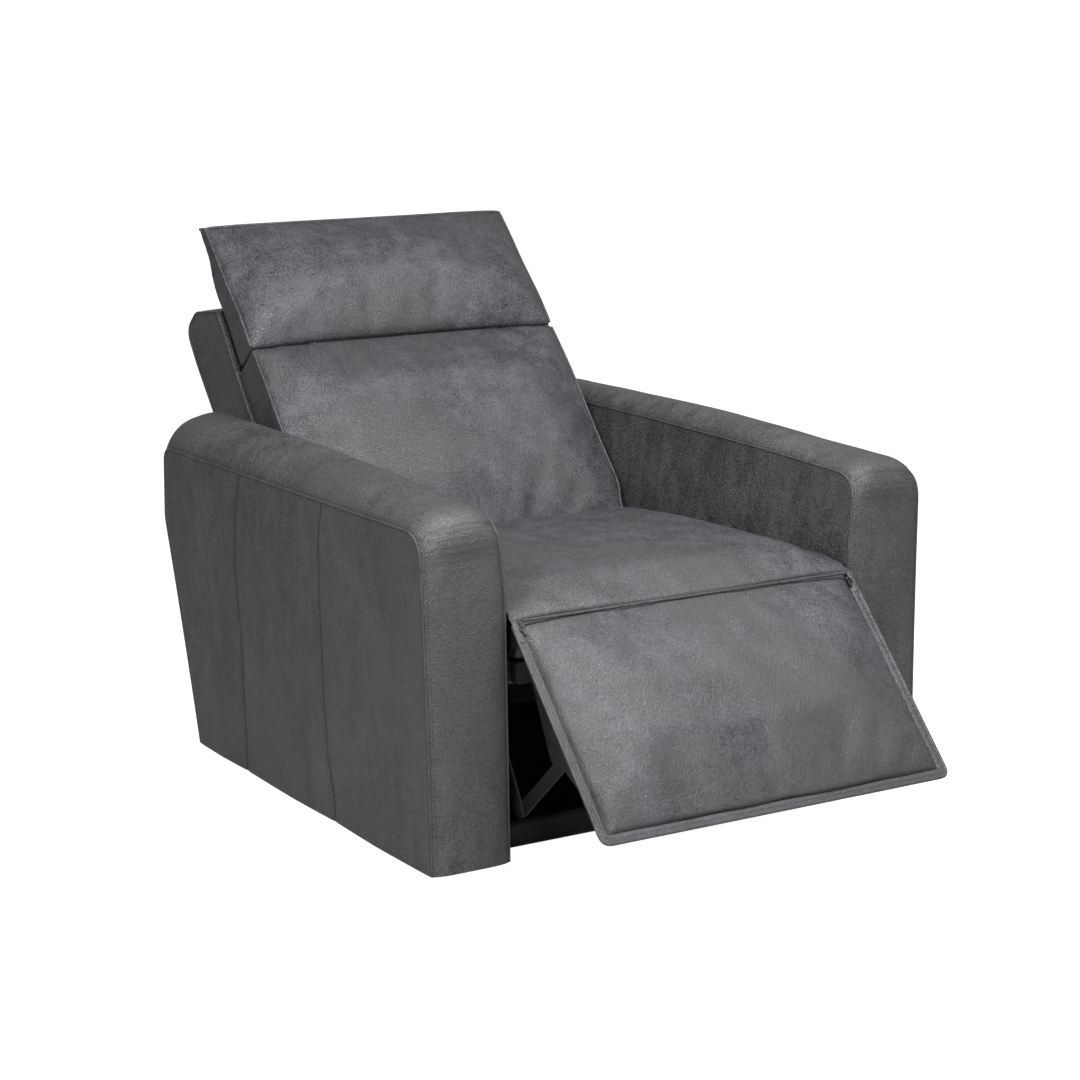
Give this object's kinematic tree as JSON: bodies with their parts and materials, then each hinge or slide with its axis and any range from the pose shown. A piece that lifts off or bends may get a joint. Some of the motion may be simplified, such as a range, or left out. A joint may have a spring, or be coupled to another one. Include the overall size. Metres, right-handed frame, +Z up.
{
  "type": "recliner armchair",
  "caption": "Leather power recliner armchair with a swing-out footrest, a reclining back, a tilting headrest and track arms, half open.",
  "frame": {"origin": "on the floor, under the middle of the whole chair in its half-open rest pose", "axes": "+Z up; the sitter faces -Y, so the footrest swings out towards -Y and the back leans towards +Y; X runs across, and -X is the sitter's right, with the button panel"},
  "size_m": [1, 1.601, 0.9993],
  "materials": {
    "arm_leather": "satin",
    "seat_leather": "satin",
    "back_leather": "satin",
    "shell_leather": "satin",
    "arm_foam": "matte",
    "plywood": "matte",
    "black_steel": "satin",
    "zinc_steel": "satin",
    "black_cloth": "matte",
    "webbing": "matte",
    "black_plastic": "matte",
    "drive_plastic": "matte",
    "button_plastic": "satin"
  },
  "bodies": {
    "base": {"arm_frame_left": "plywood", "arm_frame_right": "plywood", "arm_foam_left": "arm_foam", "arm_foam_right": "arm_foam", "arm_cover_left": "arm_leather", "arm_cover_right": "arm_leather", "control_panel": "black_plastic", "side_rail_left": "plywood", "side_rail_right": "plywood", "front_rail": "plywood", "rear_rail": "plywood", "rear_valance": "arm_leather", "power_inlet": "black_plastic", "dust_cover": "black_cloth", "glide_feet": "black_plastic", "mechanism_plate_left": "black_steel", "mechanism_plate_right": "black_steel", "glide_track_left": "zinc_steel", "glide_track_right": "zinc_steel"},
    "seat": {"seat_frame": "plywood", "seat_springs": "zinc_steel", "seat_cushion": "seat_leather", "seat_plate_left": "black_steel", "seat_plate_right": "black_steel", "track_runners": "black_plastic", "seat_cross_tube": "black_steel", "footrest_motor": "drive_plastic", "recline_motor": "drive_plastic"},
    "back": {"back_frame": "plywood", "back_webbing": "webbing", "back_cushion": "back_leather", "back_shell": "shell_leather", "back_bracket_left": "black_steel", "back_bracket_right": "black_steel", "back_tube": "black_steel", "headrest_hinges": "black_steel", "headrest_motor": "drive_plastic"},
    "headrest": {"headrest_board": "plywood", "headrest_cushion": "back_leather", "headrest_hinge_bar": "black_steel"},
    "headrest_fork": {"headrest_carriage": "drive_plastic"},
    "footrest": {"footrest_board": "plywood", "footrest_cushion": "seat_leather", "pad_bracket_left": "black_steel", "pad_bracket_right": "black_steel"},
    "drive_links": {"torque_tube": "black_steel", "front_link_left": "black_steel", "front_link_right": "black_steel"},
    "rear_link_l": {"rear_link_left": "black_steel"},
    "rear_link_r": {"rear_link_right": "black_steel"},
    "lift_bar_l": {"lift_bar_left": "black_steel"},
    "lift_bar_r": {"lift_bar_right": "black_steel"},
    "footrest_fork": {"footrest_carriage": "drive_plastic"},
    "recline_fork": {"recline_carriage": "drive_plastic"},
    "button_footrest_out": {"footrest_button_out": "button_plastic"},
    "button_footrest_in": {"footrest_button_in": "button_plastic"},
    "button_back": {"back_button": "button_plastic"},
    "button_headrest": {"headrest_button": "button_plastic"}
  },
  "joints": [
    {"name": "seat_glide", "type": "slide", "parent": "base", "child": "seat", "axis": [0, -1, 0], "range_m": [-0.03853, 0.02269]},
    {"name": "back_recline", "type": "hinge", "parent": "seat", "child": "back", "pos_m": [0, 0.295, 0.36], "axis": [-1, 0, 0], "range_deg": [-24, 14]},
    {"name": "headrest_tilt", "type": "hinge", "parent": "back", "child": "headrest", "pos_m": [0, 0.50815, 0.7642], "axis": [1, 0, 0], "range_deg": [0, 40]},
    {"name": "headrest_drive", "type": "slide", "parent": "back", "child": "headrest_fork", "axis": [0, 0.6428, 0.766], "range_m": [-0.0005, 0.06208]},
    {"name": "footrest_lift", "type": "hinge", "parent": "seat", "child": "footrest", "pos_m": [0, -0.523, 0.4], "axis": [-1, 0, 0], "range_deg": [-42.6, 44]},
    {"name": "drive_link_swing", "type": "hinge", "parent": "seat", "child": "drive_links", "pos_m": [0, -0.393, 0.29], "axis": [-1, 0, 0], "range_deg": [-42.7, 44.1]},
    {"name": "rear_link_swing_left", "type": "hinge", "parent": "seat", "child": "rear_link_l", "pos_m": [0, -0.323, 0.29], "axis": [-1, 0, 0], "range_deg": [-42.7, 44.1]},
    {"name": "rear_link_swing_right", "type": "hinge", "parent": "seat", "child": "rear_link_r", "pos_m": [0, -0.323, 0.29], "axis": [-1, 0, 0], "range_deg": [-42.7, 44.1]},
    {"name": "lift_bar_turn_left", "type": "hinge", "parent": "drive_links", "child": "lift_bar_l", "pos_m": [0, -0.50511, 0.09421], "axis": [-1, 0, 0], "range_deg": [-44.1, 42.7]},
    {"name": "lift_bar_turn_right", "type": "hinge", "parent": "drive_links", "child": "lift_bar_r", "pos_m": [0, -0.50511, 0.09421], "axis": [-1, 0, 0], "range_deg": [-44.1, 42.7]},
    {"name": "footrest_drive", "type": "slide", "parent": "seat", "child": "footrest_fork", "axis": [0, -1, 0], "range_m": [-0.04191, 0.04327]},
    {"name": "recline_drive", "type": "slide", "parent": "seat", "child": "recline_fork", "axis": [0, -1, 0], "range_m": [-0.0333, 0.01963]},
    {"name": "footrest_out_press", "type": "slide", "parent": "base", "child": "button_footrest_out", "axis": [-1, 0, 0], "range_m": [0, 0.002], "stiffness_N_per_m": 800, "springref_m": -0.0005},
    {"name": "footrest_in_press", "type": "slide", "parent": "base", "child": "button_footrest_in", "axis": [-1, 0, 0], "range_m": [0, 0.002], "stiffness_N_per_m": 800, "springref_m": -0.0005},
    {"name": "back_press", "type": "slide", "parent": "base", "child": "button_back", "axis": [-1, 0, 0], "range_m": [0, 0.002], "stiffness_N_per_m": 800, "springref_m": -0.0005},
    {"name": "headrest_press", "type": "slide", "parent": "base", "child": "button_headrest", "axis": [-1, 0, 0], "range_m": [0, 0.002], "stiffness_N_per_m": 800, "springref_m": -0.0005}
  ],
  "couplings": [
    {"joint": "seat_glide", "follows": "back_recline", "m_per_rad": 0.0908},
    {"joint": "headrest_drive", "follows": "headrest_tilt", "m_per_rad": 0.0882},
    {"joint": "drive_link_swing", "follows": "footrest_lift", "ratio": 1},
    {"joint": "rear_link_swing_left", "follows": "footrest_lift", "ratio": 1},
    {"joint": "rear_link_swing_right", "follows": "footrest_lift", "ratio": 1},
    {"joint": "lift_bar_turn_left", "follows": "footrest_lift", "ratio": -1},
    {"joint": "lift_bar_turn_right", "follows": "footrest_lift", "ratio": -1},
    {"joint": "footrest_drive", "follows": "footrest_lift", "m_per_rad": 0.0557},
    {"joint": "recline_drive", "follows": "back_recline", "m_per_rad": 0.0783}
  ]
}
